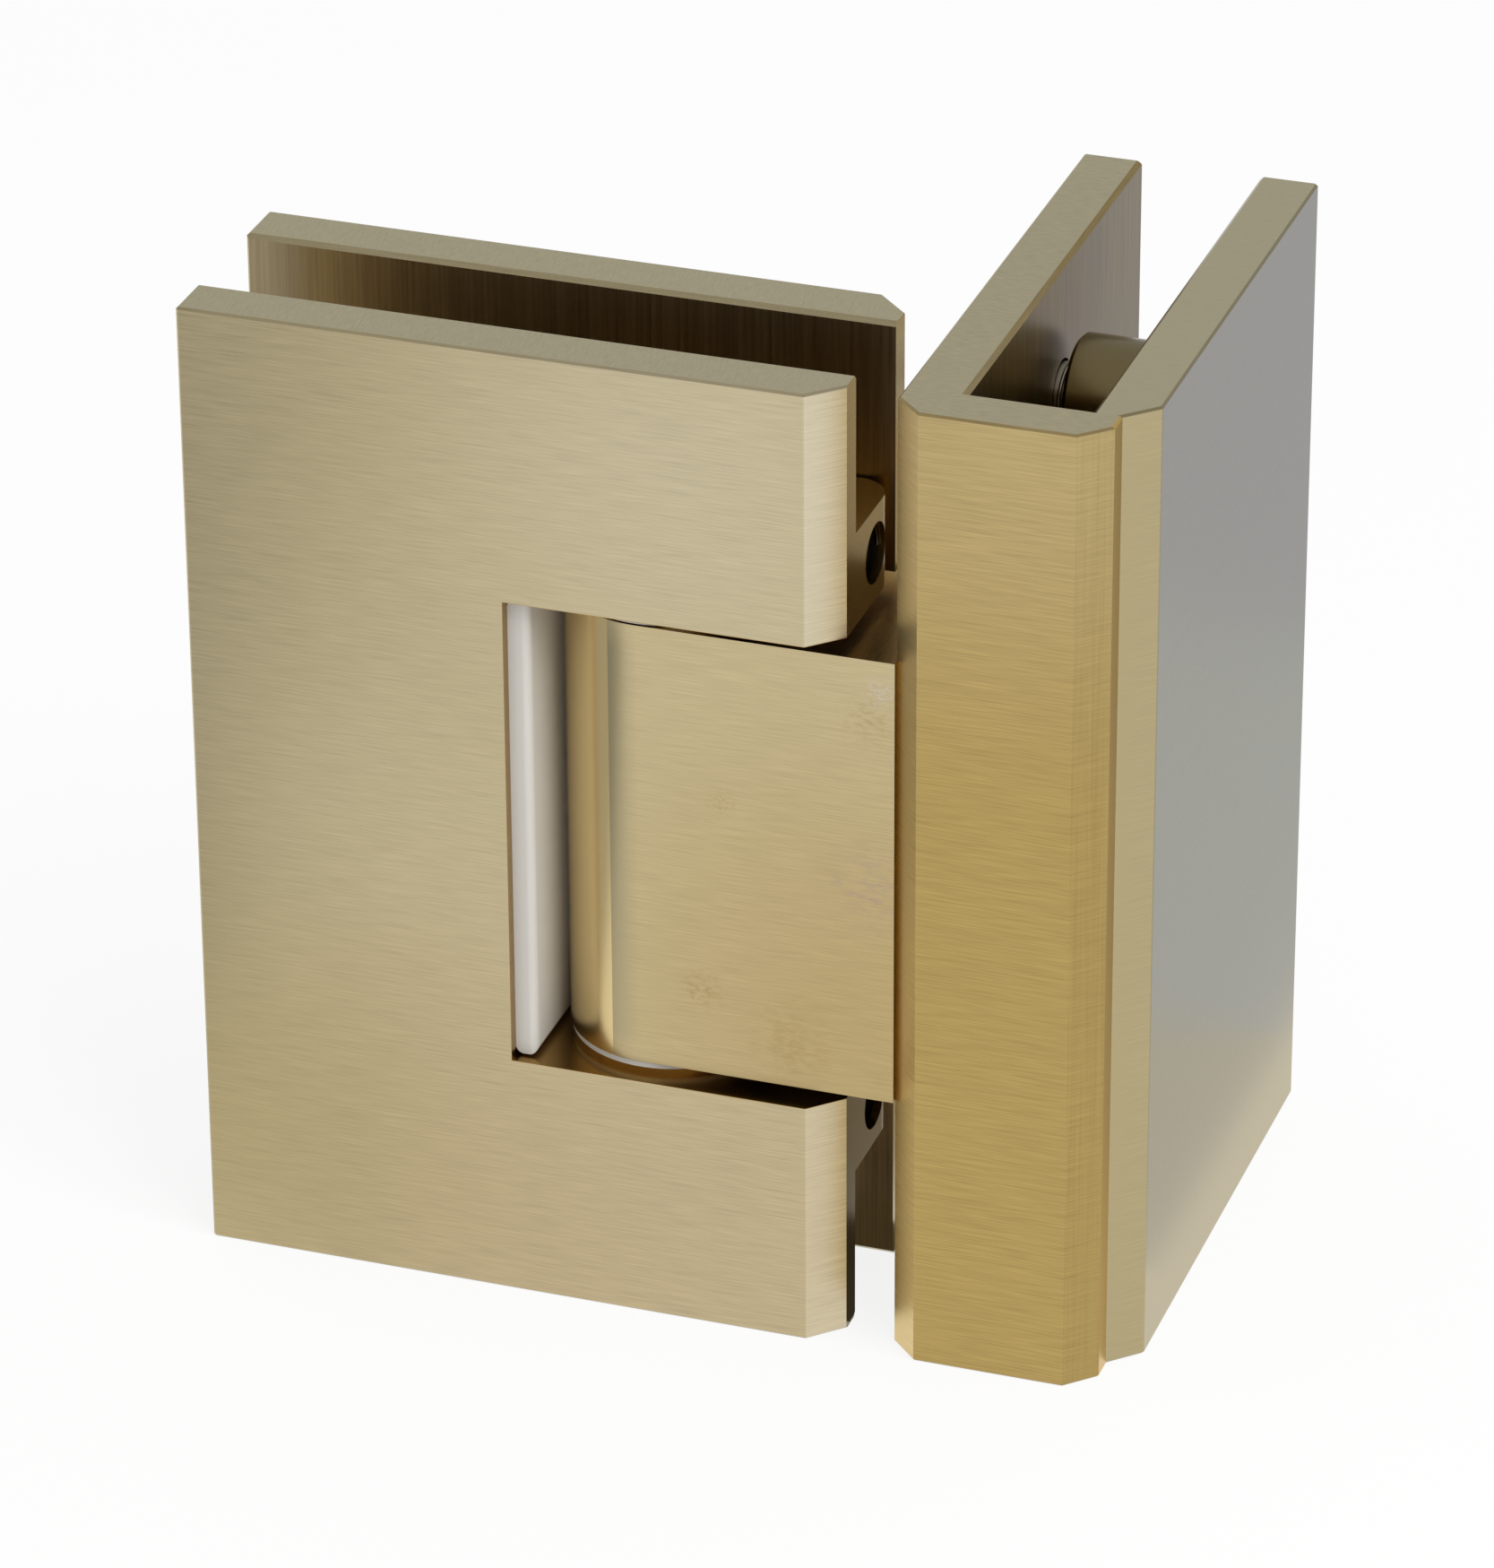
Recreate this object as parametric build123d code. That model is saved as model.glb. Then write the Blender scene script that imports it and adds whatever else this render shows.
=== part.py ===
from build123d import *
import os

# Shower door hinge that hangs a glass door on a fixed glass panel set at ninety degrees to it.
# Sizes are in millimetres. X runs along the closed door, Y along the fixed panel, Z up the pivot axis.
# Pieces are drawn about the pivot axis at half height, then moved to the part's own origin.

# Plates of both sides
HEIGHT = 90.0
PLATE_THICKNESS = 5.2
BEVEL = 2.8
BEVEL_SHOULDER = 0.3
EDGE_BREAK = 0.2
GLASS_EDGE_BREAK = 0.4

# Door side
DOOR_PLATE_WIDTH = 58.0
DOOR_REACH = 18.2
DOOR_GLASS_GAP = 10.6
NOTCH_HEIGHT = 44.0
KNUCKLE_HEIGHT = 8.5
KNUCKLE_CORNER = 3.0
HOUSING_WALL = 6.8
HOUSING_CORNER = 4.0
CLAMP_DRAW = 0.3
DOOR_SCREW_INSET = 5.3
DOOR_SCREW_LENGTH = 16.0

# Barrel and leaf
BARREL_DIAMETER = 18.0
SWING_GAP = 4.6
LEAF_SCREW_SPACING = 26.0
LEAF_SCREW_LENGTH = 14.0

# Thrust washers and the raised faces that they turn on
THRUST_FACE_HEIGHT = 0.5
THRUST_FACE_INSET = 0.1
WASHER_THICKNESS = 0.5
WASHER_INSET = 0.15
WASHER_BORE_GAP = 0.15
THRUST_CLEARANCE = 0.1

# Pivot pin, its bushes and its set screws
PIN_DIAMETER = 8.0
PIN_RECESS = 0.4
PIN_CHAMFER = 0.5
PIN_SEAT_GAP = 0.02
BUSH_WALL = 1.8
BUSH_LENGTH = 9.0
BUSH_SEAT_GAP = 0.01
RUNNING_CLEARANCE = 0.05
SET_SCREW_DIAMETER = 5.35
SET_SCREW_LENGTH = 6.0
SET_SCREW_SOCKET = 3.0
SET_SCREW_SOCKET_DEPTH = 2.5
SET_SCREW_CHAMFER = 0.5

# Sprung plunger that holds the door closed or square open on flats of the pin
FLAT_DEPTH = 0.6
FLAT_MARGIN = 1.0
PIN_PASSAGE_GAP = 0.4
PLUNGER_DIAMETER = 6.0
PLUNGER_NOSE_DIAMETER = 3.6
PLUNGER_LENGTH = 7.0
PLUNGER_CLEARANCE = 0.05
SPRING_WIRE = 0.8
SPRING_DIAMETER = 5.0
SPRING_TURNS = 4

# Moulded pad between the barrel and the bottom of the notch
PAD_THICKNESS = 1.9
PAD_DEPTH = 18.8
PAD_END_GAP = 0.2
PAD_EDGE = 0.7
PAD_CLEARANCE = 0.3

# Fixed side
FIXED_DEPTH = 55.0
FIXED_GLASS_GAP = 10.6
FRONT_STEP = 0.4
WEB_THICKNESS = 4.6
WEB_CHAMFER = 2.5
WEB_LAP = 0.2
CLAMP_SCREW_SPACING = 67.0
CLAMP_SCREW_SETBACK = 27.0
CLAMP_SCREW_LENGTH = 16.0
BOSS_DIAMETER = 10.4
BOSS_GAP = 1.4
BOSS_ROOT = 1.2
BOSS_EDGE = 0.4

# Countersunk socket screws, all of one size
SCREW_DIAMETER = 5.0
SCREW_HEAD_DIAMETER = 9.6
SCREW_RECESS = 0.2
SCREW_POINT = 0.5
SCREW_SOCKET = 3.0
SCREW_SOCKET_DEPTH = 2.0
SCREW_HOLE_GAP = 0.25
SCREW_SEAT_GAP = 0.02
THREAD_GAP = 0.02
THREAD_RUNOUT = 1.0

# How far a cutter reaches past the face that it opens
OVERCUT = 1.0

# Planes of the door side
door_left = DOOR_REACH - DOOR_PLATE_WIDTH
door_inner = DOOR_GLASS_GAP / 2
door_outer = door_inner + PLATE_THICKNESS
barrel_radius = BARREL_DIAMETER / 2
pad_face = -(barrel_radius + PAD_CLEARANCE)
notch_wall = pad_face - PAD_THICKNESS
notch_top = NOTCH_HEIGHT / 2
knuckle_top = notch_top + KNUCKLE_HEIGHT
knuckle_middle = notch_top + KNUCKLE_HEIGHT / 2
housing_left = notch_wall - HOUSING_WALL
housing_back = door_inner - CLAMP_DRAW
door_screw_x = housing_left + DOOR_SCREW_INSET

# Planes of the fixed side
wall_outer = DOOR_REACH + SWING_GAP
wall_inner = wall_outer + PLATE_THICKNESS
clamp_inner = wall_inner + FIXED_GLASS_GAP
clamp_outer = clamp_inner + PLATE_THICKNESS
web_front = -door_outer - FRONT_STEP
web_back = web_front + WEB_THICKNESS
web_end = clamp_outer - BEVEL + WEB_LAP
fixed_back = web_front + FIXED_DEPTH
clamp_screw_y = web_back + CLAMP_SCREW_SETBACK

# Heights and radii of the pivot
thrust_top = notch_top - THRUST_FACE_HEIGHT
washer_top = thrust_top - WASHER_THICKNESS
leaf_top = washer_top - THRUST_CLEARANCE
pin_radius = PIN_DIAMETER / 2
bush_radius = pin_radius + RUNNING_CLEARANCE + BUSH_WALL
set_screw_tip = pin_radius + PIN_SEAT_GAP

# Stations of the plunger, drawn clear of the pin's round
plunger_nose = pin_radius + RUNNING_CLEARANCE
plunger_tail = plunger_nose + PLUNGER_LENGTH

# The part's origin is under the middle of its box
origin_x = (door_left + clamp_outer) / 2
origin_y = (web_front + fixed_back) / 2


# Basic forms
def turned(outline):
    """Solid turned about Z from points of radius and height."""
    profile = Polyline([(radius, 0, height) for radius, height in outline], close=True)
    return revolve(make_face(profile), Axis.Z)


def span(low, high):
    """Block between two opposite corners."""
    centre = [(a + b) / 2 for a, b in zip(low, high)]
    return Pos(*centre) * Box(*[b - a for a, b in zip(low, high)])


def ring(outer, inner, low, high):
    """Plain tube about Z between two heights."""
    return turned([(inner, low), (outer, low), (outer, high), (inner, high)])


def rod(radius, start, direction, length):
    """Plain cylinder from a point along a direction."""
    cylinder = Cylinder(radius, length, align=(Align.CENTER, Align.CENTER, Align.MIN))
    return Plane(start, z_dir=direction).location * cylinder


def upper_and_lower(solid):
    """A solid and its mirror image across the half height."""
    return [solid, mirror(solid, about=Plane.XY)]


def hex_socket(across_flats, depth):
    """Cutter for a hexagon socket that opens upwards at Z zero."""
    hexagon = RegularPolygon(across_flats / 2, 6, major_radius=False)
    return extrude(hexagon, amount=-depth) + extrude(hexagon, amount=OVERCUT)


# Fasteners, drawn with the plate's face at Z zero and the screw running down
def countersunk_screw(length):
    """Socket screw with a ninety degree head, a little below the face."""
    shank = SCREW_DIAMETER / 2
    head = SCREW_HEAD_DIAMETER / 2
    neck = head - shank
    screw = turned([
        (0, 0),
        (head, 0),
        (shank, -neck),
        (shank, SCREW_POINT - length),
        (shank - SCREW_POINT, -length),
        (0, -length),
    ])
    return Pos(0, 0, -SCREW_RECESS) * (screw - hex_socket(SCREW_SOCKET, SCREW_SOCKET_DEPTH))


def countersunk_hole():
    """Cutter for the countersink and its clearance hole through one plate."""
    hole = SCREW_DIAMETER / 2 + SCREW_HOLE_GAP
    seat = SCREW_HEAD_DIAMETER / 2 + SCREW_RECESS + SCREW_SEAT_GAP
    depth = PLATE_THICKNESS + OVERCUT
    return turned([(0, OVERCUT), (seat + OVERCUT, OVERCUT), (hole, hole - seat), (hole, -depth), (0, -depth)])


def thread_hole(start, direction, depth):
    """Cutter for a blind threaded hole."""
    return rod(SCREW_DIAMETER / 2 + THREAD_GAP, start, direction, depth)


def faced(solid, point, normal):
    """A fastener or its hole set on a face at a point, running in against the normal."""
    return Plane(point, z_dir=normal).location * solid


def screw_reach(length):
    """How far below its plate's face a screw hole has to reach."""
    return SCREW_RECESS + length + THREAD_RUNOUT


def edges_at(edges, axis, station):
    """Those of a face's edges that lie square across an axis at a station."""
    return edges.filter_by_position(axis, station - EDGE_BREAK / 4, station + EDGE_BREAK / 4)


def broken_rims(solid, glass_axis, glass_face, seam_axis, seam_face):
    """A plate with its top and bottom edges broken, more against the glass and not along the seam."""
    for end in (0, -1):
        rim = solid.faces().sort_by(Axis.Z)[end].edges()
        solid = chamfer(edges_at(rim, glass_axis, glass_face), GLASS_EDGE_BREAK)
        rim = solid.faces().sort_by(Axis.Z)[end].edges()
        done = edges_at(rim, glass_axis, glass_face - GLASS_EDGE_BREAK)
        solid = chamfer(rim - done - edges_at(rim, seam_axis, seam_face), EDGE_BREAK)
    return solid


# Plate with one bevelled end, outer face on Y zero, plain end on X zero
def bevelled_plate(width):
    """Flat clamping plate with its outer bevel, rounded shoulder and broken edges."""
    outline = make_face(Polyline(
        (0, 0),
        (width - BEVEL, 0),
        (width, BEVEL),
        (width, PLATE_THICKNESS),
        (0, PLATE_THICKNESS),
        close=True,
    ))
    shoulder = outline.vertices().sort_by_distance((width - BEVEL, 0, 0))[0]
    plate = extrude(fillet(shoulder, BEVEL_SHOULDER), amount=HEIGHT / 2, both=True)
    plain_end = plate.edges().filter_by(Axis.Z).group_by(Axis.X)[0]
    return broken_rims(chamfer(plain_end, EDGE_BREAK), Axis.Y, PLATE_THICKNESS, Axis.X, width)


# Door side
def door_plate():
    """Front door plate before anything is added to it."""
    return Pos(door_left, -door_outer, 0) * bevelled_plate(DOOR_PLATE_WIDTH)


def door_notch():
    """Cutter for the notch that the barrel turns in, open at the plates' bevelled end."""
    side = door_outer + OVERCUT
    return span((notch_wall, -side, -notch_top), (DOOR_REACH + OVERCUT, side, notch_top))


def housing():
    """Block behind the front plate that fills the glass cut-out, with its corners rounded."""
    block = span((housing_left, -door_inner, -knuckle_top), (DOOR_REACH, housing_back, knuckle_top))
    cut_out_corners = block.edges().filter_by(Axis.Y).group_by(Axis.X)[0]
    block = fillet(cut_out_corners, HOUSING_CORNER)
    back_corner = block.edges().filter_by(Axis.Z).group_by(Axis.X)[-1].sort_by(Axis.Y)[-1]
    return fillet(back_corner, KNUCKLE_CORNER)


def thrust_face():
    """Raised round face on the upper knuckle, cut off where the knuckle ends."""
    face = ring(barrel_radius - THRUST_FACE_INSET, pin_radius, thrust_top, notch_top)
    return face & span((-BARREL_DIAMETER, -BARREL_DIAMETER, 0), (BARREL_DIAMETER, housing_back, notch_top))


def door_screw_points(y):
    """Places of the door's clamp screws at one depth."""
    return [(door_screw_x, y, side * knuckle_middle) for side in (1, -1)]


def door_front_plate():
    """Front plate, housing and both knuckles in one piece."""
    body = door_plate() + housing() - door_notch()
    for face in upper_and_lower(thrust_face()):
        body = body + face
    body = body - rod(pin_radius + PIN_SEAT_GAP, (0, 0, -HEIGHT), (0, 0, 1), 2 * HEIGHT)
    set_screw_hole = rod(SET_SCREW_DIAMETER / 2 + THREAD_GAP, (0, 0, knuckle_middle), (1, 0, 0), HEIGHT)
    for hole in upper_and_lower(set_screw_hole):
        body = body - hole
    for point in door_screw_points(door_outer):
        body = body - thread_hole(point, (0, -1, 0), screw_reach(DOOR_SCREW_LENGTH))
    return body


def door_back_plate():
    """Loose clamping plate behind the door's glass."""
    plate = mirror(door_plate(), about=Plane.XZ) - door_notch()
    for point in door_screw_points(door_outer):
        plate = plate - faced(countersunk_hole(), point, (0, 1, 0))
    return plate


def door_clamp_screws():
    """Screws that draw the two door plates together."""
    screw = countersunk_screw(DOOR_SCREW_LENGTH)
    return [faced(screw, point, (0, 1, 0)) for point in door_screw_points(door_outer)]


def notch_pad():
    """Moulded pad that lines the bottom of the notch."""
    end = notch_top - PAD_END_GAP
    pad = span((notch_wall, -PAD_DEPTH / 2, -end), (pad_face, PAD_DEPTH / 2, end))
    barrel_side = pad.edges().filter_by(Axis.Z).group_by(Axis.X)[-1]
    return fillet(barrel_side + pad.edges().filter_by(Axis.Y), PAD_EDGE)


# Pivot
def thrust_washer():
    """Upper thrust washer."""
    return ring(barrel_radius - WASHER_INSET, pin_radius + WASHER_BORE_GAP, washer_top, thrust_top)


def pivot_pin():
    """Pin held by the knuckles, with four flats at its middle for the plunger."""
    end = knuckle_top - PIN_RECESS
    pin = turned([
        (0, -end),
        (pin_radius - PIN_CHAMFER, -end),
        (pin_radius, PIN_CHAMFER - end),
        (pin_radius, end - PIN_CHAMFER),
        (pin_radius - PIN_CHAMFER, end),
        (0, end),
    ])
    across_flats = PIN_DIAMETER - 2 * FLAT_DEPTH
    flat_height = PLUNGER_DIAMETER + FLAT_MARGIN
    square = Box(across_flats, across_flats, flat_height)
    return pin - (Cylinder(PIN_DIAMETER, flat_height) - square)


def set_screw():
    """Upper set screw, its cup end on the pin and its socket towards the knuckle's end face."""
    radius = SET_SCREW_DIAMETER / 2
    screw = turned([
        (0, -SET_SCREW_LENGTH),
        (radius - SET_SCREW_CHAMFER, -SET_SCREW_LENGTH),
        (radius, SET_SCREW_CHAMFER - SET_SCREW_LENGTH),
        (radius, -SET_SCREW_CHAMFER),
        (radius - SET_SCREW_CHAMFER, 0),
        (0, 0),
    ])
    screw = screw - hex_socket(SET_SCREW_SOCKET, SET_SCREW_SOCKET_DEPTH)
    return faced(screw, (set_screw_tip + SET_SCREW_LENGTH, 0, knuckle_middle), (1, 0, 0))


def bush():
    """Upper bush, flush with the end of the barrel."""
    return ring(bush_radius - BUSH_SEAT_GAP, pin_radius + RUNNING_CLEARANCE, leaf_top - BUSH_LENGTH, leaf_top)


def leaf_screw_points(x):
    """Places of the leaf's screws at one station."""
    return [(x, 0, side * LEAF_SCREW_SPACING / 2) for side in (1, -1)]


def barrel_leaf():
    """Leaf with the barrel on one end, bored for the bushes, the pin and the plunger."""
    outline = Circle(barrel_radius) + Pos(wall_outer / 2, 0) * Rectangle(wall_outer, BARREL_DIAMETER)
    leaf = extrude(outline, amount=leaf_top, both=True)
    leaf = leaf - rod(pin_radius + PIN_PASSAGE_GAP, (0, 0, -HEIGHT), (0, 0, 1), 2 * HEIGHT)
    bush_seat = rod(bush_radius, (0, 0, leaf_top - BUSH_LENGTH), (0, 0, 1), BUSH_LENGTH + OVERCUT)
    for seat in upper_and_lower(bush_seat):
        leaf = leaf - seat
    leaf = leaf - rod(PLUNGER_DIAMETER / 2 + PLUNGER_CLEARANCE, (0, 0, 0), (1, 0, 0), wall_outer + OVERCUT)
    for point in leaf_screw_points(wall_inner):
        leaf = leaf - thread_hole(point, (-1, 0, 0), screw_reach(LEAF_SCREW_LENGTH))
    return leaf


def detent_plunger():
    """Plunger with a flat nose that drops on to the pin's flats."""
    radius = PLUNGER_DIAMETER / 2
    nose = PLUNGER_NOSE_DIAMETER / 2
    plunger = turned([
        (0, -PLUNGER_LENGTH),
        (nose, -PLUNGER_LENGTH),
        (radius, radius - nose - PLUNGER_LENGTH),
        (radius, 0),
        (0, 0),
    ])
    return faced(plunger, (plunger_tail, 0, 0), (1, 0, 0))


def detent_spring():
    """Coil spring of square wire between the plunger and the fixed wall."""
    length = wall_outer - plunger_tail - SPRING_WIRE
    path = Helix(length / SPRING_TURNS, length, (SPRING_DIAMETER - SPRING_WIRE) / 2)
    wire = Plane(path @ 0, x_dir=(1, 0, 0), z_dir=path % 0) * Rectangle(SPRING_WIRE, SPRING_WIRE)
    spring = sweep(wire, path=path, is_frenet=True)
    return faced(spring, (plunger_tail + SPRING_WIRE / 2, 0, 0), (1, 0, 0))


# Fixed side
def clamp_screw_points(x):
    """Places of the fixed side's clamp screws at one station."""
    return [(x, clamp_screw_y, side * CLAMP_SCREW_SPACING / 2) for side in (1, -1)]


def fixed_body():
    """Wall beside the door and chamfered web across the front, in one piece."""
    outline = make_face(Polyline(
        (wall_outer, fixed_back),
        (wall_outer, web_front + WEB_CHAMFER),
        (wall_outer + WEB_CHAMFER, web_front),
        (web_end - WEB_CHAMFER, web_front),
        (web_end, web_front + WEB_CHAMFER),
        (web_end, web_back),
        (wall_inner, web_back),
        (wall_inner, fixed_back),
        close=True,
    ))
    body = broken_rims(extrude(outline, amount=HEIGHT / 2, both=True), Axis.X, wall_inner, Axis.Y, web_back)
    for point in clamp_screw_points(wall_outer):
        body = body - faced(countersunk_hole(), point, (-1, 0, 0))
    for point in leaf_screw_points(wall_inner):
        body = body - faced(countersunk_hole(), point, (1, 0, 0))
    return body


def clamp_boss():
    """Round boss that stands off the clamp plate on a flared root, drawn up from Z zero."""
    radius = BOSS_DIAMETER / 2
    height = FIXED_GLASS_GAP - BOSS_GAP
    return turned([
        (0, 0),
        (radius + BOSS_ROOT, 0),
        (radius, BOSS_ROOT),
        (radius, height - BOSS_EDGE),
        (radius - BOSS_EDGE, height),
        (0, height),
    ])


def fixed_clamp_plate():
    """Loose plate on the far side of the fixed glass, with its two threaded bosses."""
    blank = mirror(bevelled_plate(fixed_back - web_back), about=Plane.XZ)
    plate = Pos(clamp_outer, fixed_back, 0) * Rot(0, 0, -90) * blank
    for point in clamp_screw_points(clamp_inner):
        plate = plate + faced(clamp_boss(), point, (-1, 0, 0))
    for point in clamp_screw_points(wall_outer):
        plate = plate - thread_hole(point, (1, 0, 0), screw_reach(CLAMP_SCREW_LENGTH))
    return plate


def fixed_clamp_screws():
    """Screws through the wall into the clamp plate's bosses."""
    screw = countersunk_screw(CLAMP_SCREW_LENGTH)
    return [faced(screw, point, (-1, 0, 0)) for point in clamp_screw_points(wall_outer)]


def leaf_screws():
    """Screws that hold the leaf, put in from inside the channel."""
    screw = countersunk_screw(LEAF_SCREW_LENGTH)
    return [faced(screw, point, (1, 0, 0)) for point in leaf_screw_points(wall_inner)]


# Every piece by name
upper_bush, lower_bush = upper_and_lower(bush())
upper_washer, lower_washer = upper_and_lower(thrust_washer())
upper_screw, lower_screw = upper_and_lower(set_screw())
pieces = {
    "fixed_body": [fixed_body()],
    "fixed_clamp_plate": [fixed_clamp_plate()],
    "fixed_clamp_screws": fixed_clamp_screws(),
    "barrel_leaf": [barrel_leaf()],
    "leaf_screws": leaf_screws(),
    "upper_bush": [upper_bush],
    "lower_bush": [lower_bush],
    "detent_plunger": [detent_plunger()],
    "detent_spring": [detent_spring()],
    "door_front_plate": [door_front_plate()],
    "door_back_plate": [door_back_plate()],
    "door_clamp_screws": door_clamp_screws(),
    "pivot_pin": [pivot_pin()],
    "upper_set_screw": [upper_screw],
    "lower_set_screw": [lower_screw],
    "upper_thrust_washer": [upper_washer],
    "lower_thrust_washer": [lower_washer],
    "notch_pad": [notch_pad()],
}

# Files, with the part standing on its lower edges
os.makedirs("parts", exist_ok=True)
stand = Pos(-origin_x, -origin_y, HEIGHT / 2)
for name, solids in pieces.items():
    placed = [stand * solid for solid in solids]
    export_step(placed[0] if len(placed) == 1 else Compound(placed), f"parts/{name}.step")
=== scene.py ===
"""Looks of the shower door hinge: brushed brass, machined steel and white mouldings on a pale floor."""

import logging
import math
from dataclasses import dataclass, replace
from enum import Enum
from typing import Any

import bpy
from mathutils import Matrix, Vector


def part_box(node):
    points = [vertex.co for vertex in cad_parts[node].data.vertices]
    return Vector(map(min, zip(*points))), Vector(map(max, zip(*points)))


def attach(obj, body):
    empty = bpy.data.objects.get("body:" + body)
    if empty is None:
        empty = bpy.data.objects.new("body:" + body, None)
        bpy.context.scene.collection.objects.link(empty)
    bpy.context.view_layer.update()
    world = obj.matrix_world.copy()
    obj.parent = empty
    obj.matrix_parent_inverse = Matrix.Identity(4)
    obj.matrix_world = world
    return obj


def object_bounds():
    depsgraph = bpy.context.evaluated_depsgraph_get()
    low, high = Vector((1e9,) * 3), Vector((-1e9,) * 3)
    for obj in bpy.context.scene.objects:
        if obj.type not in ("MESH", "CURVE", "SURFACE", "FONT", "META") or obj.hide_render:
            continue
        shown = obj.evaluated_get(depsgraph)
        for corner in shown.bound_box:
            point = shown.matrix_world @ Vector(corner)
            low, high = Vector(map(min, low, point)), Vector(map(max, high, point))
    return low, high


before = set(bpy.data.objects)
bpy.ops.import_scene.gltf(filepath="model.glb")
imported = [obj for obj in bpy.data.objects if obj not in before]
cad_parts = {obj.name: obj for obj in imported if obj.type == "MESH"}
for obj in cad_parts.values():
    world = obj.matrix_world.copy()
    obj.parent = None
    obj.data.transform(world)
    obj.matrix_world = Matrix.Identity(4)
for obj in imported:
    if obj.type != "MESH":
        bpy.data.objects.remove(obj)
CAD_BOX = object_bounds()
LOG = logging.getLogger("hinge")
MM = 0.001

Colour = tuple[float, float, float]
Axis = tuple[float, float, float]
Corner = tuple[float, float]
Limits = tuple[float, float]

AXES: tuple[Axis, ...] = ((1, 0, 0), (0, 1, 0), (0, 0, 1))
RIGHT, BACK, UP = AXES
LEFT: Axis = (-1, 0, 0)
FRONT: Axis = (0, -1, 0)
NO_FACE: Axis = (0, 0, 0)


# Nodes
class Signal:
    """A node's output that takes part in Python expressions."""

    def __init__(self, sheet: "NodeSheet", socket: bpy.types.NodeSocket) -> None:
        """Keep the output and the sheet that its sums are added to.

        Args:
            sheet: the sheet of nodes that the output belongs to.
            socket: the output itself.
        """
        self.sheet = sheet
        self.socket = socket

    def math(self, operation: str, *terms: "Signal | float") -> "Signal":
        """Add one Math node.

        Args:
            operation: the Math node's operation.
            terms: its values in order.

        Returns:
            The node's result.
        """
        node = self.sheet.node("ShaderNodeMath", {"operation": operation}, dict(enumerate(terms)))
        return self.sheet.signal(node, "Value")

    def __add__(self, other: "Signal | float") -> "Signal":
        """Sum."""
        return self.math("ADD", self, other)

    def __radd__(self, other: float) -> "Signal":
        """Sum with a number first."""
        return self.math("ADD", other, self)

    def __sub__(self, other: "Signal | float") -> "Signal":
        """Difference."""
        return self.math("SUBTRACT", self, other)

    def __rsub__(self, other: float) -> "Signal":
        """Difference with a number first."""
        return self.math("SUBTRACT", other, self)

    def __mul__(self, other: "Signal | float") -> "Signal":
        """Product."""
        return self.math("MULTIPLY", self, other)

    def __rmul__(self, other: float) -> "Signal":
        """Product with a number first."""
        return self.math("MULTIPLY", other, self)

    def __truediv__(self, other: "Signal | float") -> "Signal":
        """Quotient."""
        return self.math("DIVIDE", self, other)

    def __abs__(self) -> "Signal":
        """Size without its sign."""
        return self.math("ABSOLUTE", self)

    def step(self, low: float, high: float) -> "Signal":
        """Smooth rise from 0 to 1.

        Args:
            low: the value that gives 0.
            high: the value that gives 1.

        Returns:
            The smoothed value.
        """
        settings = {"interpolation_type": "SMOOTHSTEP"}
        limits = {"Value": self, "From Min": low, "From Max": high}
        return self.sheet.signal(self.sheet.node("ShaderNodeMapRange", settings, limits), "Result")

    def around(self, middle: float, swing: float) -> "Signal":
        """A pattern between 0 and 1, spread about a middle value."""
        return middle + (self - 0.5) * swing


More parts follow.
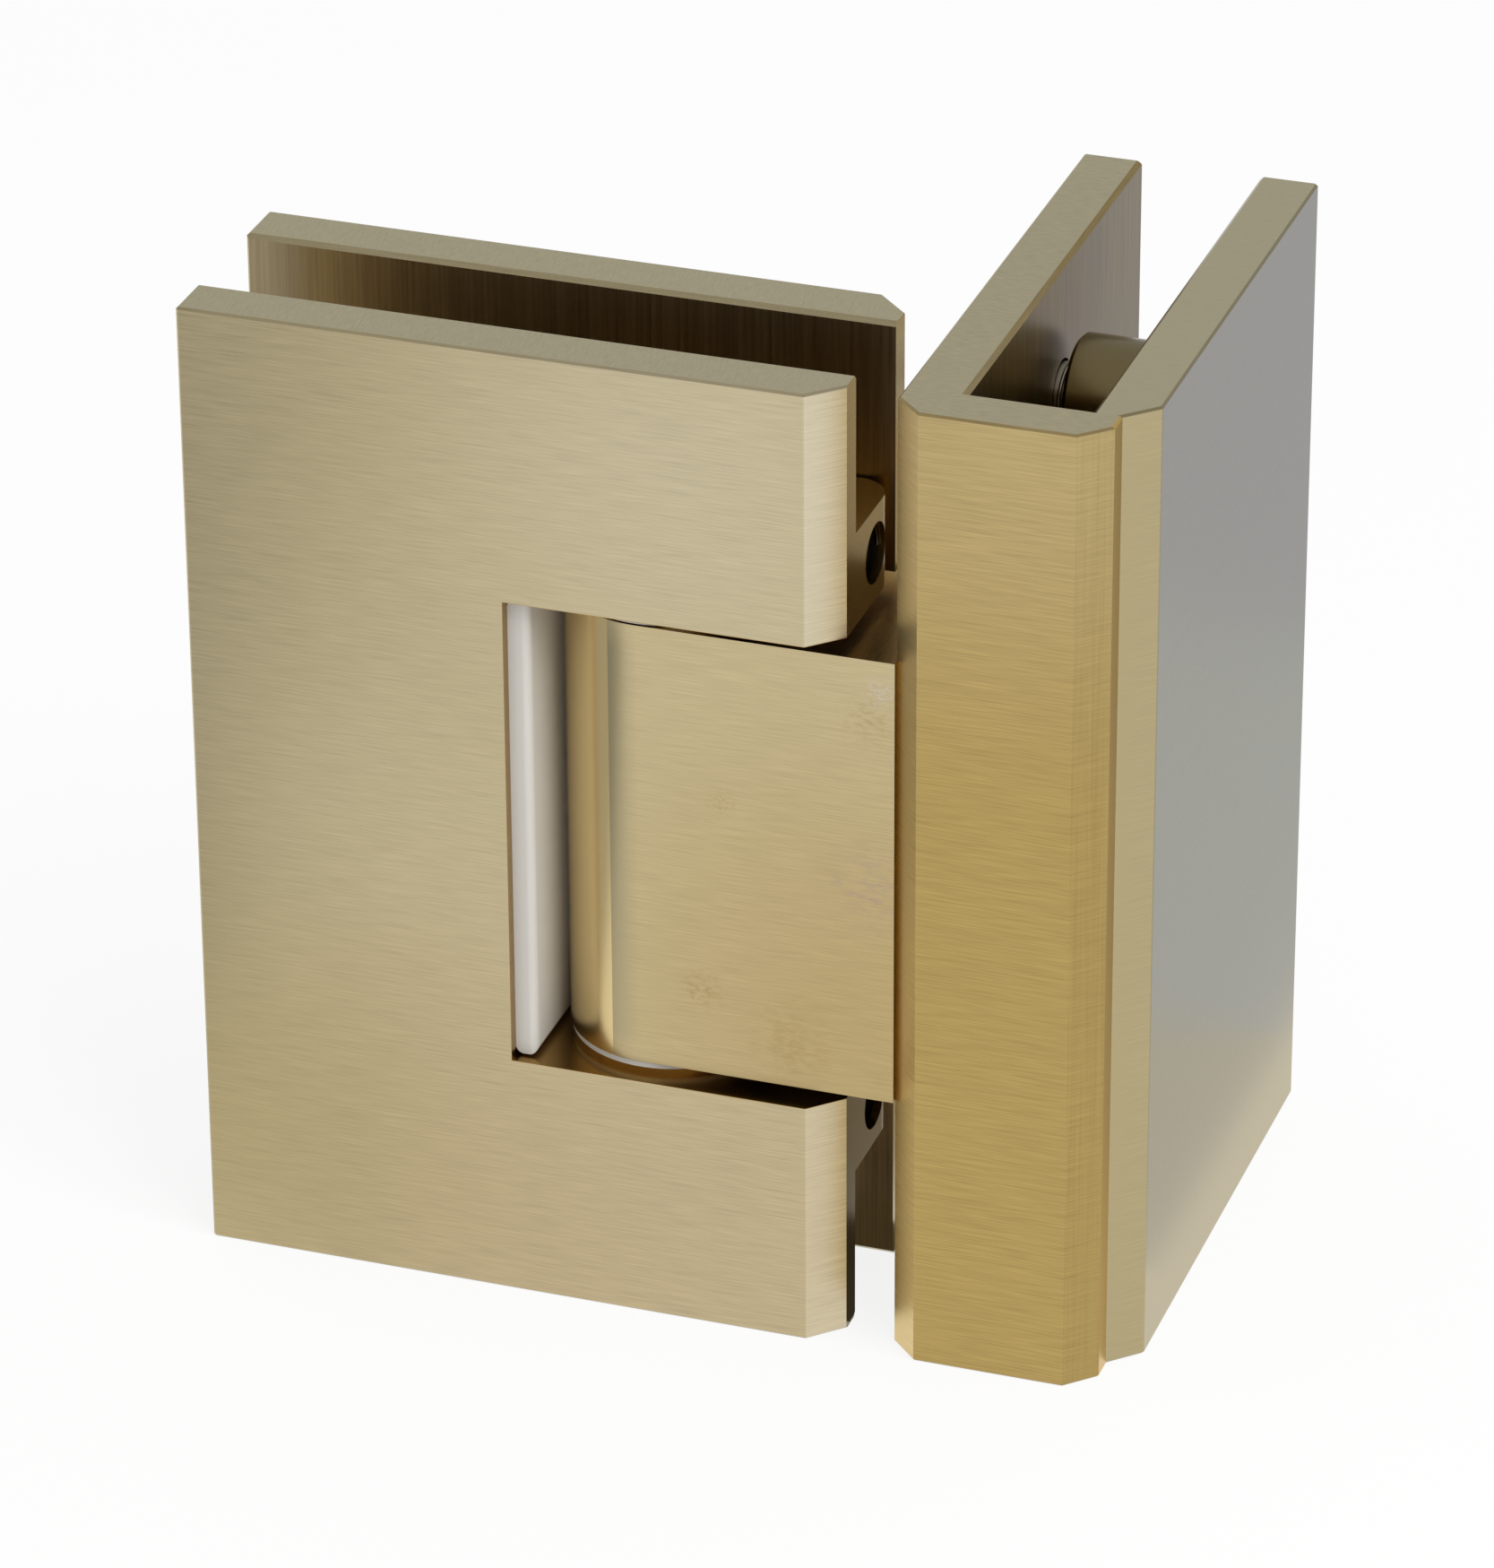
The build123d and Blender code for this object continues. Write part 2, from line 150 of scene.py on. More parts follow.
class NodeSheet:
    """The nodes of one material, world or thread."""

    # A Mix node has sockets for every type of data, so these are found by number
    VALUE_ENDS = (2, 3)
    COLOUR_ENDS = (6, 7)
    COLOUR_RESULT = 2

    def __init__(self, tree: bpy.types.NodeTree) -> None:
        """Start from an empty tree.

        Args:
            tree: the node tree to fill.
        """
        self.tree = tree
        self.tree.nodes.clear()

    def node(self, kind: str, settings: dict[str, Any] | None = None,
             inputs: dict[str | int, Any] | None = None) -> bpy.types.Node:
        """Add a node.

        Args:
            kind: the node's type.
            settings: its properties, set before its sockets.
            inputs: values or signals by socket name or number.

        Returns:
            The new node.
        """
        node = self.tree.nodes.new(kind)
        for name, value in (settings or {}).items():
            setattr(node, name, value)
        for key, value in (inputs or {}).items():
            if isinstance(value, Signal):
                self.tree.links.new(value.socket, node.inputs[key])
            else:
                node.inputs[key].default_value = value
        return node

    def signal(self, node: bpy.types.Node, output: str | int = 0) -> Signal:
        """One of a node's outputs, ready for expressions."""
        return Signal(self, node.outputs[output])

    def coordinates(self, output: str) -> Signal:
        """One of the texture coordinates, such as Object or Normal."""
        return self.signal(self.node("ShaderNodeTexCoord"), output)

    def dot(self, vector: Signal, axis: Axis) -> Signal:
        """How far a vector points along an axis."""
        node = self.node("ShaderNodeVectorMath", {"operation": "DOT_PRODUCT"}, {0: vector, 1: axis})
        return self.signal(node, "Value")

    def stretched(self, vector: Signal, scale: Axis) -> Signal:
        """A vector with each component multiplied."""
        node = self.node("ShaderNodeVectorMath", {"operation": "MULTIPLY"}, {0: vector, 1: scale})
        return self.signal(node, "Vector")

    def scaled(self, vector: Signal | Colour, factor: Signal) -> Signal:
        """A vector or colour multiplied by one factor."""
        node = self.node("ShaderNodeVectorMath", {"operation": "SCALE"}, {0: vector, "Scale": factor})
        return self.signal(node, "Vector")

    def distance(self, vector: Signal, point: Axis) -> Signal:
        """Distance of a place from a point."""
        node = self.node("ShaderNodeVectorMath", {"operation": "DISTANCE"}, {0: vector, 1: point})
        return self.signal(node, "Value")

    def within(self, place: Signal, low: Axis, high: Axis, soft: float) -> Signal:
        """1 inside a box and 0 outside it.

        Args:
            place: object coordinates.
            low: the box's lowest corner.
            high: its highest corner.
            soft: how far inside its faces the mask starts to fade.

        Returns:
            The box's mask.
        """
        mask: Signal | float = 1.0
        for axis, near, far in zip(AXES, low, high):
            half = (far - near) / 2
            mask = mask * (1 - abs(self.dot(place, axis) - (near + half)).step(half - soft, half))
        return mask

    def noise(self, vector: Signal, scale: float, detail: float = 2.0) -> Signal:
        """Noise between 0 and 1.

        Args:
            vector: where it is read.
            scale: how many lumps there are in one unit.
            detail: how many finer layers it has.

        Returns:
            The noise's value.
        """
        node = self.node("ShaderNodeTexNoise", None, {"Vector": vector, "Scale": scale, "Detail": detail})
        return self.signal(node, "Fac")

    def blend(self, factor: Signal, low: Signal | float, high: Signal | float) -> Signal:
        """A value that goes from low to high with a factor."""
        inputs = {0: factor, **dict(zip(self.VALUE_ENDS, (low, high)))}
        return self.signal(self.node("ShaderNodeMix", {"data_type": "FLOAT"}, inputs))

    def mix(self, factor: Signal, low: Signal | Colour, high: Signal | Colour) -> Signal:
        """A colour that goes from low to high with a factor.

        Args:
            factor: 0 for low and 1 for high.
            low: the first colour.
            high: the second colour.

        Returns:
            The mixed colour.
        """
        ends = [end if isinstance(end, Signal) else (*end, 1.0) for end in (low, high)]
        inputs = {0: factor, **dict(zip(self.COLOUR_ENDS, ends))}
        node = self.node("ShaderNodeMix", {"data_type": "RGBA"}, inputs)
        return self.signal(node, self.COLOUR_RESULT)

    def mottled(self, pattern: Signal, tint: Colour, shades: Limits) -> Signal:
        """A tint that a pattern makes darker and lighter."""
        return self.mix(pattern, *(toned(tint, shade) for shade in shades))

    def bump(self, height: Signal, depth: float, strength: float) -> Signal:
        """Surface normal raised by a height.

        Args:
            height: the height's pattern.
            depth: metres between its 0 and 1.
            strength: share of the effect that shows.

        Returns:
            The bumped normal.
        """
        node = self.node("ShaderNodeBump", None, {"Height": height, "Distance": depth, "Strength": strength})
        return self.signal(node, "Normal")

    def rays(self, *kinds: str) -> Signal:
        """1 for rays of these kinds, such as Camera or Glossy, and 0 for the rest."""
        path = self.node("ShaderNodeLightPath")
        return sum(self.signal(path, f"Is {kind} Ray") for kind in kinds)

    def principled(self, **sockets: Any) -> Signal:
        """A Principled surface with these sockets, given with _ for each space."""
        inputs = {name.replace("_", " "): value for name, value in sockets.items()}
        return self.signal(self.node("ShaderNodeBsdfPrincipled", None, inputs), "BSDF")

    def glow(self, tone: Colour) -> Signal:
        """A surface that shows one tone, however it is lit."""
        return self.signal(self.node("ShaderNodeEmission", None, {"Color": (*tone, 1.0), "Strength": 1.0}))

    def layered(self, factor: Signal, under: Signal, over: Signal) -> Signal:
        """One surface laid over another."""
        return self.signal(self.node("ShaderNodeMixShader", None, {0: factor, 1: under, 2: over}))

    def finish(self, surface: Signal) -> None:
        """End a material in a surface."""
        self.node("ShaderNodeOutputMaterial", None, {"Surface": surface})


def new_sheet(name: str) -> tuple[bpy.types.Material, NodeSheet]:
    """A new material and its empty sheet of nodes.

    Args:
        name: the material's name.

    Returns:
        The material and its sheet.
    """
    material = bpy.data.materials.new(name)
    material.use_nodes = True
    return material, NodeSheet(material.node_tree)


def toned(colour: Colour, gain: float) -> Colour:
    """A colour made lighter or darker.

    Args:
        colour: the colour to start from.
        gain: what each channel is multiplied by.

    Returns:
        The new colour.
    """
    return tuple(channel * gain for channel in colour)


# How squarely each kind of face looks along its axis, from where it starts to count to where it is whole
EDGE_FACE: Limits = (0.8, 0.95)
RIM_FACE: Limits = (0.5, 0.6)
GLASS_FACE: Limits = (0.6, 0.9)
FLAT_FACE: Limits = (0.95, 0.99)

# Relief and specks
GRAIN_DEPTH = 0.01 * MM
SPECK_STRETCH: Axis = (0.5, 0.5, 1.0)
SPECKS_PER_REACH = 10
SPECK_DETAIL = 6.0
SPECK_EDGE: Limits = (0.4, 0.75)

# How slowly the noise changes along the brush lines of an edge
EDGE_RUN = 0.06


# Finishes
class Grain(Enum):
    """Which way the brush ran over the top and bottom edges of a piece."""

    ACROSS_DOOR = (1.0, EDGE_RUN, EDGE_RUN)
    ACROSS_PANEL = (EDGE_RUN, 1.0, EDGE_RUN)


@dataclass(frozen=True)
class StainAndPaintedLight:
    """A mark on a piece: tarnish broken into specks, and, where it is marked as painted light, a smooth
    patch of painted light and shade that multiplies the brass.

    Its middle lies on the front of a piece, at shares of the piece's width and height from the lower left.
    """

    across: float
    up: float
    reach: float
    tone: Colour
    strength: float = 1.0
    # Set for the smooth patches of painted light and shade
    painted_light: bool = False

    def place(self, node: str) -> Axis:
        """The mark's middle on a CAD node."""
        low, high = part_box(node)
        return (low.x + (high.x - low.x) * self.across, low.y, low.z + (high.z - low.z) * self.up)


@dataclass(frozen=True)
class Patch:
    """Faces inside a box that were turned or milled and never brushed, and patches of painted shade and
    painted reflection.
    """

    low: Axis
    high: Axis
    tint: Colour
    roughness: float = 0.25
    soft: float = 0.02 * MM
    mottle: float = 0.1


@dataclass(frozen=True)
class Finish:
    """What pieces are finished in: one material that they share."""

    name: str

    def material(self) -> bpy.types.Material:
        """The finish's material, made when it is first asked for.

        Returns:
            The material.
        """
        material = bpy.data.materials.get(self.name)
        if material is None:
            material, sheet = new_sheet(self.name)
            sheet.finish(self.surface(sheet))
        return material

    def surface(self, sheet: NodeSheet) -> Signal:
        """The finish's shader, which each kind of finish gives.

        Args:
            sheet: the material's empty sheet of nodes.

        Returns:
            The shader.
        """
        raise NotImplementedError(self.name)


# Colours of the brushed faces, with painted shade on the inner faces that meet the glass and a painted
# highlight on the bevels
PALE_BRASS: Colour = (0.54, 0.47, 0.285)
FRONT_BRASS: Colour = (0.546, 0.463, 0.281)
INNER_BRASS_PAINTED_SHADE: Colour = (0.45, 0.36, 0.215)
BEVEL_PAINTED_HIGHLIGHT: Colour = (0.64, 0.565, 0.385)
LEAF_TINT: Colour = (0.57, 0.475, 0.275)
BODY_TINT: Colour = (0.47, 0.335, 0.118)
BODY_INNER_PAINTED_SHADE: Colour = (0.33, 0.235, 0.083)
BODY_BEVEL_PAINTED_HIGHLIGHT: Colour = (0.75, 0.575, 0.26)
CLAMP_TINT: Colour = (0.46, 0.385, 0.215)


@dataclass(frozen=True)
class BrushedBrass(Finish):
    """Satin brass, brushed level with the floor outside and upright on the face that meets the glass."""

    node: str
    tint: Colour
    grain: Grain
    glass_face: Axis
    # Darker copy of the brass for the inner face that meets the glass: painted shade between the parts
    inner_painted_shade_tint: Colour = INNER_BRASS_PAINTED_SHADE
    # Face and lighter copy of the brass for a painted highlight on a bevel
    painted_highlight_face: Axis = NO_FACE
    painted_highlight_tint: Colour = BEVEL_PAINTED_HIGHLIGHT
    # Top and bottom faces: the leaf's milled edges, and painted cool light from above as paler tops on the
    # fixed body and clamp plate
    edge_finish_and_top_light_tint: Colour = PALE_BRASS
    rim_shade: float = 0.2
    end_face: Axis = NO_FACE
    end_shade: float = 0.68
    end_fade: float = 0.6
    roughness: float = 0.3
    roughness_swing: float = 0.12
    contrast: float = 0.3
    line_width: float = 0.07 * MM
    run: float = 0.016
    relief: float = 0.25
    mottle: float = 0.05
    cloud_size: float = 14 * MM
    cloud_detail: float = 3.0
    inner_contrast: float = 0.35
    inner_line_width: float = 0.25 * MM
    stains_and_painted_light: tuple[StainAndPaintedLight, ...] = ()
    patches: tuple[Patch, ...] = ()

    def lines(self, sheet: NodeSheet, place: Signal, on_edge: Signal, inside: Signal) -> Signal:
        """Brush lines that turn with the face that they lie on.

        Args:
            sheet: the material's nodes.
            place: object coordinates.
            on_edge: 1 on the top and bottom faces.
            inside: 1 on the face that meets the glass.

        Returns:
            The lines' pattern between 0 and 1.
        """
        fine = 1 / self.line_width
        level = sheet.noise(sheet.stretched(place, (self.run, self.run, 1.0)), fine)
        edge = sheet.noise(sheet.stretched(place, self.grain.value), fine)
        upright = sheet.noise(sheet.stretched(place, (1.0, 1.0, self.run)), 1 / self.inner_line_width)
        return sheet.blend(inside, sheet.blend(on_edge, level, edge), upright)

    def end_light(self, sheet: NodeSheet, place: Signal, normal: Signal) -> Signal:
        """What the end face keeps of its light: all at its top, and less towards the gap that it looks into.

        Args:
            sheet: the material's nodes.
            place: object coordinates.
            normal: the surface's direction.

        Returns:
            1 on every other face.
        """
        low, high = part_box(self.node)
        faded = low.z + (high.z - low.z) * self.end_fade
        deep = 1 - sheet.dot(place, UP).step(faded, high.z)
        return 1 - sheet.dot(normal, self.end_face).step(*FLAT_FACE) * deep * self.end_shade

    def tarnish_and_painted_light(self, sheet: NodeSheet, place: Signal, colour: Signal, on_edge: Signal) -> Signal:
        """A colour with the piece's tarnish and painted light and shade laid over it, apart from the top and
        bottom faces.

        Args:
            sheet: the material's nodes.
            place: object coordinates.
            colour: the clean finish.
            on_edge: 1 on the top and bottom faces.

        Returns:
            The stained colour.
        """
        for blotch in self.stains_and_painted_light:
            fade = 1 - (sheet.distance(place, blotch.place(self.node)) / blotch.reach).step(0.0, 1.0)
            cover = fade * (1 - on_edge) * blotch.strength
            # Painted light and shade multiply the brass; tarnish lays specks over it
            if blotch.painted_light:
                colour = sheet.mix(cover, colour, sheet.stretched(colour, blotch.tone))
            else:
                fine = SPECKS_PER_REACH / blotch.reach
                specks = sheet.noise(sheet.stretched(place, SPECK_STRETCH), fine, SPECK_DETAIL)
                colour = sheet.mix(cover * specks.step(*SPECK_EDGE), colour, blotch.tone)
        return colour

    def surface(self, sheet: NodeSheet) -> Signal:
        """Brushed faces with their tarnish, painted light and painted shade, and patches for the faces that
        were never brushed and for painted shade and reflection.

        Args:
            sheet: the material's empty sheet of nodes.

        Returns:
            The shader.
        """
        place = sheet.coordinates("Object")
        normal = sheet.coordinates("Normal")
        level = abs(sheet.dot(normal, UP))
        on_edge = level.step(*EDGE_FACE)
        on_rim = level.step(*RIM_FACE) - on_edge
        inside = sheet.dot(normal, self.glass_face).step(*GLASS_FACE)
        # Mask of the bevel that carries the painted highlight
        bright = sheet.dot(normal, self.painted_highlight_face).step(*FLAT_FACE)
        lines = self.lines(sheet, place, on_edge, inside)
        cloud = sheet.noise(place, 1 / self.cloud_size, self.cloud_detail)
        tone = 2 * (lines * (1 - self.mottle) + cloud * self.mottle) - 1
        shade = 1 + tone * sheet.blend(inside, self.contrast, self.inner_contrast)
        # Top and bottom faces: milled on the leaf, painted cool light from above on the fixed body and clamp
        # plate
        tint = sheet.mix(on_edge, self.tint, self.edge_finish_and_top_light_tint)
        # Painted shade: a darker copy of the brass on the inner face that meets the glass
        tint = sheet.mix(inside, tint, self.inner_painted_shade_tint)
        # Painted highlight: the bevel in a lighter copy of the brass
        tint = sheet.mix(bright, tint, self.painted_highlight_tint)
        shade = shade * (1 - on_rim * self.rim_shade) * self.end_light(sheet, place, normal)
        colour = sheet.scaled(tint, shade)
        colour = self.tarnish_and_painted_light(sheet, place, colour, on_edge)
        roughness = lines.around(self.roughness, self.roughness_swing)
        for patch in self.patches:
            cut = sheet.within(place, patch.low, patch.high, patch.soft)
            colour = sheet.mix(cut, colour, sheet.scaled(patch.tint, cloud.around(1.0, patch.mottle)))
            roughness = sheet.blend(cut, roughness, patch.roughness)
        return sheet.principled(
            Base_Color=colour,
            Metallic=1.0,
            Roughness=roughness,
            Normal=sheet.bump(lines, GRAIN_DEPTH, self.relief),
        )


@dataclass(frozen=True)
class MachinedMetal(Finish):
    """Bare metal with the tool's fine marks."""

    tint: Colour
    roughness: float = 0.32
    roughness_swing: float = 0.15
    mark_size: float = 0.3 * MM
    shades: Limits = (0.88, 1.08)

    def surface(self, sheet: NodeSheet) -> Signal:
        """Metal that the marks make lighter and darker.

        Args:
            sheet: the material's empty sheet of nodes.

        Returns:
            The shader.
        """
        marks = sheet.noise(sheet.coordinates("Object"), 1 / self.mark_size)
        return sheet.principled(
            Base_Color=sheet.mottled(marks, self.tint, self.shades),
            Metallic=1.0,
            Roughness=marks.around(self.roughness, self.roughness_swing),
        )


@dataclass(frozen=True)
class MouldedNylon(Finish):
    """White nylon with the mould's faint grain."""

    tint: Colour
    roughness: float = 0.5
    roughness_swing: float = 0.1
    grain_size: float = 0.4 * MM
    relief: float = 0.3
    cloud_size: float = 9 * MM
    shades: Limits = (0.96, 1.03)

    def surface(self, sheet: NodeSheet) -> Signal:
        """Matt plastic with the grain raised on it.

        Args:
            sheet: the material's empty sheet of nodes.

        Returns:
            The shader.
        """
        place = sheet.coordinates("Object")
        grain = sheet.noise(place, 1 / self.grain_size)
        cloud = sheet.noise(place, 1 / self.cloud_size)
        return sheet.principled(
            Base_Color=sheet.mottled(cloud, self.tint, self.shades),
            Roughness=grain.around(self.roughness, self.roughness_swing),
            Normal=sheet.bump(grain, GRAIN_DEPTH, self.relief),
        )


# Colours of tarnish specks, and the painted light and shade that the smooth patches multiply the brass by
BROWN: Colour = (0.36, 0.22, 0.07)
ROSE: Colour = (0.42, 0.31, 0.24)
PEARL: Colour = (0.62, 0.58, 0.56)
PAINTED_WARM_SHADE: Colour = (0.88, 0.80, 0.66)
PAINTED_LEFT_SHADE: Colour = (0.84, 0.82, 0.72)
PAINTED_PINK_SHADE: Colour = (0.98, 0.93, 0.92)
PAINTED_TOP_LIGHT: Colour = (1.09, 1.11, 1.22)
PAINTED_COOL_LIGHT: Colour = (1.12, 1.2, 1.6)

# Colours of the faces that were never brushed, with painted shade in the holes, on the bosses and beside the
# barrel's flat, and painted reflection on the turned barrel and the web's end
MILLED_BRASS: Colour = (0.40, 0.25, 0.08)
KNUCKLE_BRASS: Colour = (0.60, 0.40, 0.14)
TURNED_BRASS_PAINTED_SHEEN: Colour = (0.76, 0.60, 0.30)
SHADED_BRASS: Colour = (0.43, 0.365, 0.215)
BOSS_BRASS_PAINTED_SHADE: Colour = (0.21, 0.165, 0.08)
GOLDEN_PAINTED_REFLECTION: Colour = (0.66, 0.44, 0.13)
HOLE_PAINTED_SHADE: Colour = (0.14, 0.12, 0.09)

# Colours of what isn't brass
STEEL_TINT: Colour = (0.55, 0.54, 0.52)
# White nylon warmed a little as a painted reflection of the brass around it
NYLON_AND_BRASS_REFLECTION_TINT: Colour = (0.655, 0.635, 0.595)

DIAGONAL = math.sqrt(0.5)
DOOR_BRASS = BrushedBrass(
    "door_front_brass", "door_front_plate", FRONT_BRASS, Grain.ACROSS_DOOR, BACK,
    # Painted highlight on the bevel
    painted_highlight_face=(DIAGONAL, -DIAGONAL, 0),
    end_face=RIGHT,
    stains_and_painted_light=(
        # Painted shade towards the lower left, painted light at the top right, painted pink shade along the
        # bottom
        StainAndPaintedLight(0.0, 0.15, 40 * MM, PAINTED_LEFT_SHADE, painted_light=True),
        StainAndPaintedLight(0.76, 0.91, 34 * MM, PAINTED_TOP_LIGHT, painted_light=True),
        StainAndPaintedLight(0.58, 0.05, 45 * MM, PAINTED_PINK_SHADE, painted_light=True),
    ),
)
BACK_BRASS = BrushedBrass("door_back_brass", "door_back_plate", PALE_BRASS, Grain.ACROSS_DOOR, FRONT)
LEAF_BRASS = BrushedBrass(
    "leaf_brass", "barrel_leaf", LEAF_TINT, Grain.ACROSS_DOOR, RIGHT,
    edge_finish_and_top_light_tint=MILLED_BRASS,
    contrast=0.28,
    stains_and_painted_light=(
        # Painted warm shade towards the lower right; the rest are tarnish specks
        StainAndPaintedLight(0.98, 0.14, 42 * MM, PAINTED_WARM_SHADE, painted_light=True),
        StainAndPaintedLight(0.46, 0.19, 3 * MM, BROWN, 0.6),
        StainAndPaintedLight(0.71, 0.10, 6 * MM, BROWN, 0.4),
        StainAndPaintedLight(0.93, 0.86, 4 * MM, BROWN, 0.45),
        StainAndPaintedLight(0.93, 0.49, 6 * MM, ROSE, 0.7),
        StainAndPaintedLight(0.52, 0.63, 2 * MM, BROWN, 0.5),
        StainAndPaintedLight(0.96, 0.93, 2.2 * MM, PEARL, 0.7),
    ),
)
BODY_BRASS = BrushedBrass(
    "fixed_body_brass", "fixed_body", BODY_TINT, Grain.ACROSS_PANEL, RIGHT,
    # Painted shade on the wall's inner face in the channel
    inner_painted_shade_tint=BODY_INNER_PAINTED_SHADE,
    inner_contrast=0.7,
    # Painted highlight on the left chamfer
    painted_highlight_face=(-DIAGONAL, -DIAGONAL, 0),
    painted_highlight_tint=BODY_BEVEL_PAINTED_HIGHLIGHT,
    roughness=0.36,
    contrast=0.38,
    # Painted cool light towards the top of the front
    stains_and_painted_light=(StainAndPaintedLight(0.55, 1.02, 40 * MM, PAINTED_COOL_LIGHT, painted_light=True),),
)
CLAMP_BRASS = BrushedBrass(
    "clamp_plate_brass", "fixed_clamp_plate", CLAMP_TINT, Grain.ACROSS_PANEL, LEFT,
    rim_shade=0.3,
    contrast=0.16,
    relief=0.06,
)
STEEL = MachinedMetal("machined_steel", STEEL_TINT)
# Threads darkened as the painted shade inside the knuckle holes
THREAD_IN_PAINTED_SHADE = MachinedMetal("knuckle_thread_painted_shade", HOLE_PAINTED_SHADE)
NYLON = MouldedNylon("moulded_nylon", NYLON_AND_BRASS_REFLECTION_TINT)


# Turn that lays a screw along the door
LAID_DOWN: Axis = (0.0, math.pi / 2, 0.0)


# Threads
class ThreadTree:
    """Geometry Nodes that wind a thread's ridge once for each of a row of screws."""

    SIZES = ("Radius", "Ridge", "Pitch", "Length")
    PLACES = ("Start", "Spacing", "Turn")
    STEPS_PER_TURN = 40
    RIDGE_SIDES = 4
    ROW = 2

    def __init__(self, name: str, material: bpy.types.Material) -> None:
        """Build the tree.

        Args:
            name: the tree's name.
            material: what the ridges are made of.
        """
        self.tree = bpy.data.node_groups.new(name, "GeometryNodeTree")
        for size in self.SIZES:
            self.tree.interface.new_socket(size, in_out="INPUT", socket_type="NodeSocketFloat")
        for place in self.PLACES:
            self.tree.interface.new_socket(place, in_out="INPUT", socket_type="NodeSocketVector")
        self.tree.interface.new_socket("Geometry", in_out="OUTPUT", socket_type="NodeSocketGeometry")
        self.wire(material)

    def wire(self, material: bpy.types.Material) -> None:
        """Lay out the nodes from the sizes to the finished ridges.

        Args:
            material: what the ridges are made of.
        """
        sheet = NodeSheet(self.tree)
        entry = sheet.node("NodeGroupInput")
        given = {name: sheet.signal(entry, name) for name in (*self.SIZES, *self.PLACES)}
        helix = sheet.node("GeometryNodeCurveSpiral", None, {
            "Resolution": self.STEPS_PER_TURN,
            "Rotations": given["Length"] / given["Pitch"],
            "Start Radius": given["Radius"],
            "End Radius": given["Radius"],
            "Height": given["Length"],
        })
        profile = sheet.node("GeometryNodeCurvePrimitiveCircle", None, {
            "Resolution": self.RIDGE_SIDES,
            "Radius": given["Ridge"],
        })
        ridge = sheet.node("GeometryNodeCurveToMesh", None, {
            "Curve": sheet.signal(helix),
            "Profile Curve": sheet.signal(profile),
            "Fill Caps": True,
        })
        row = sheet.node("GeometryNodeMeshLine", None, {
            "Count": self.ROW,
            "Start Location": given["Start"],
            "Offset": given["Spacing"],
        })
        threads = sheet.node("GeometryNodeInstanceOnPoints", None, {
            "Points": sheet.signal(row),
            "Instance": sheet.signal(ridge),
            "Rotation": given["Turn"],
        })
        plain = sheet.node("GeometryNodeRealizeInstances", None, {"Geometry": sheet.signal(threads)})
        finished = sheet.node("GeometryNodeSetMaterial", None, {
            "Geometry": sheet.signal(plain),
            "Material": material,
        })
        sheet.node("NodeGroupOutput", None, {"Geometry": sheet.signal(finished)})

    def mesh(self, name: str, values: dict[str, float | Axis]) -> bpy.types.Object:
        """Run the tree and keep its result as a plain mesh.

        Args:
            name: the new object's name.
            values: the tree's inputs by name.

        Returns:
            The object, at the origin.
        """
        holder = bpy.data.objects.new(name + "_holder", bpy.data.meshes.new(name + "_holder"))
        bpy.context.scene.collection.objects.link(holder)
        modifier = holder.modifiers.new(name, "NODES")
        modifier.node_group = self.tree
        for item in self.tree.interface.items_tree:
            if item.name in values:
                modifier[item.identifier] = values[item.name]
        result = bpy.data.meshes.new_from_object(holder.evaluated_get(bpy.context.evaluated_depsgraph_get()))
        holder.modifiers.remove(modifier)
        bpy.data.objects.remove(holder)
        thread = bpy.data.objects.new(name, result)
        bpy.context.scene.collection.objects.link(thread)
        return thread


# Sub-assemblies
def dress(finish: Finish, *nodes: str) -> None:
    """Give CAD nodes their finish.

    Args:
        finish: what they are finished in.
        nodes: their names.
    """
    for node in nodes:
        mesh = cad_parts[node].data
        mesh.materials.clear()
        mesh.materials.append(finish.material())
        LOG.info("%s in %s", node, finish.name)


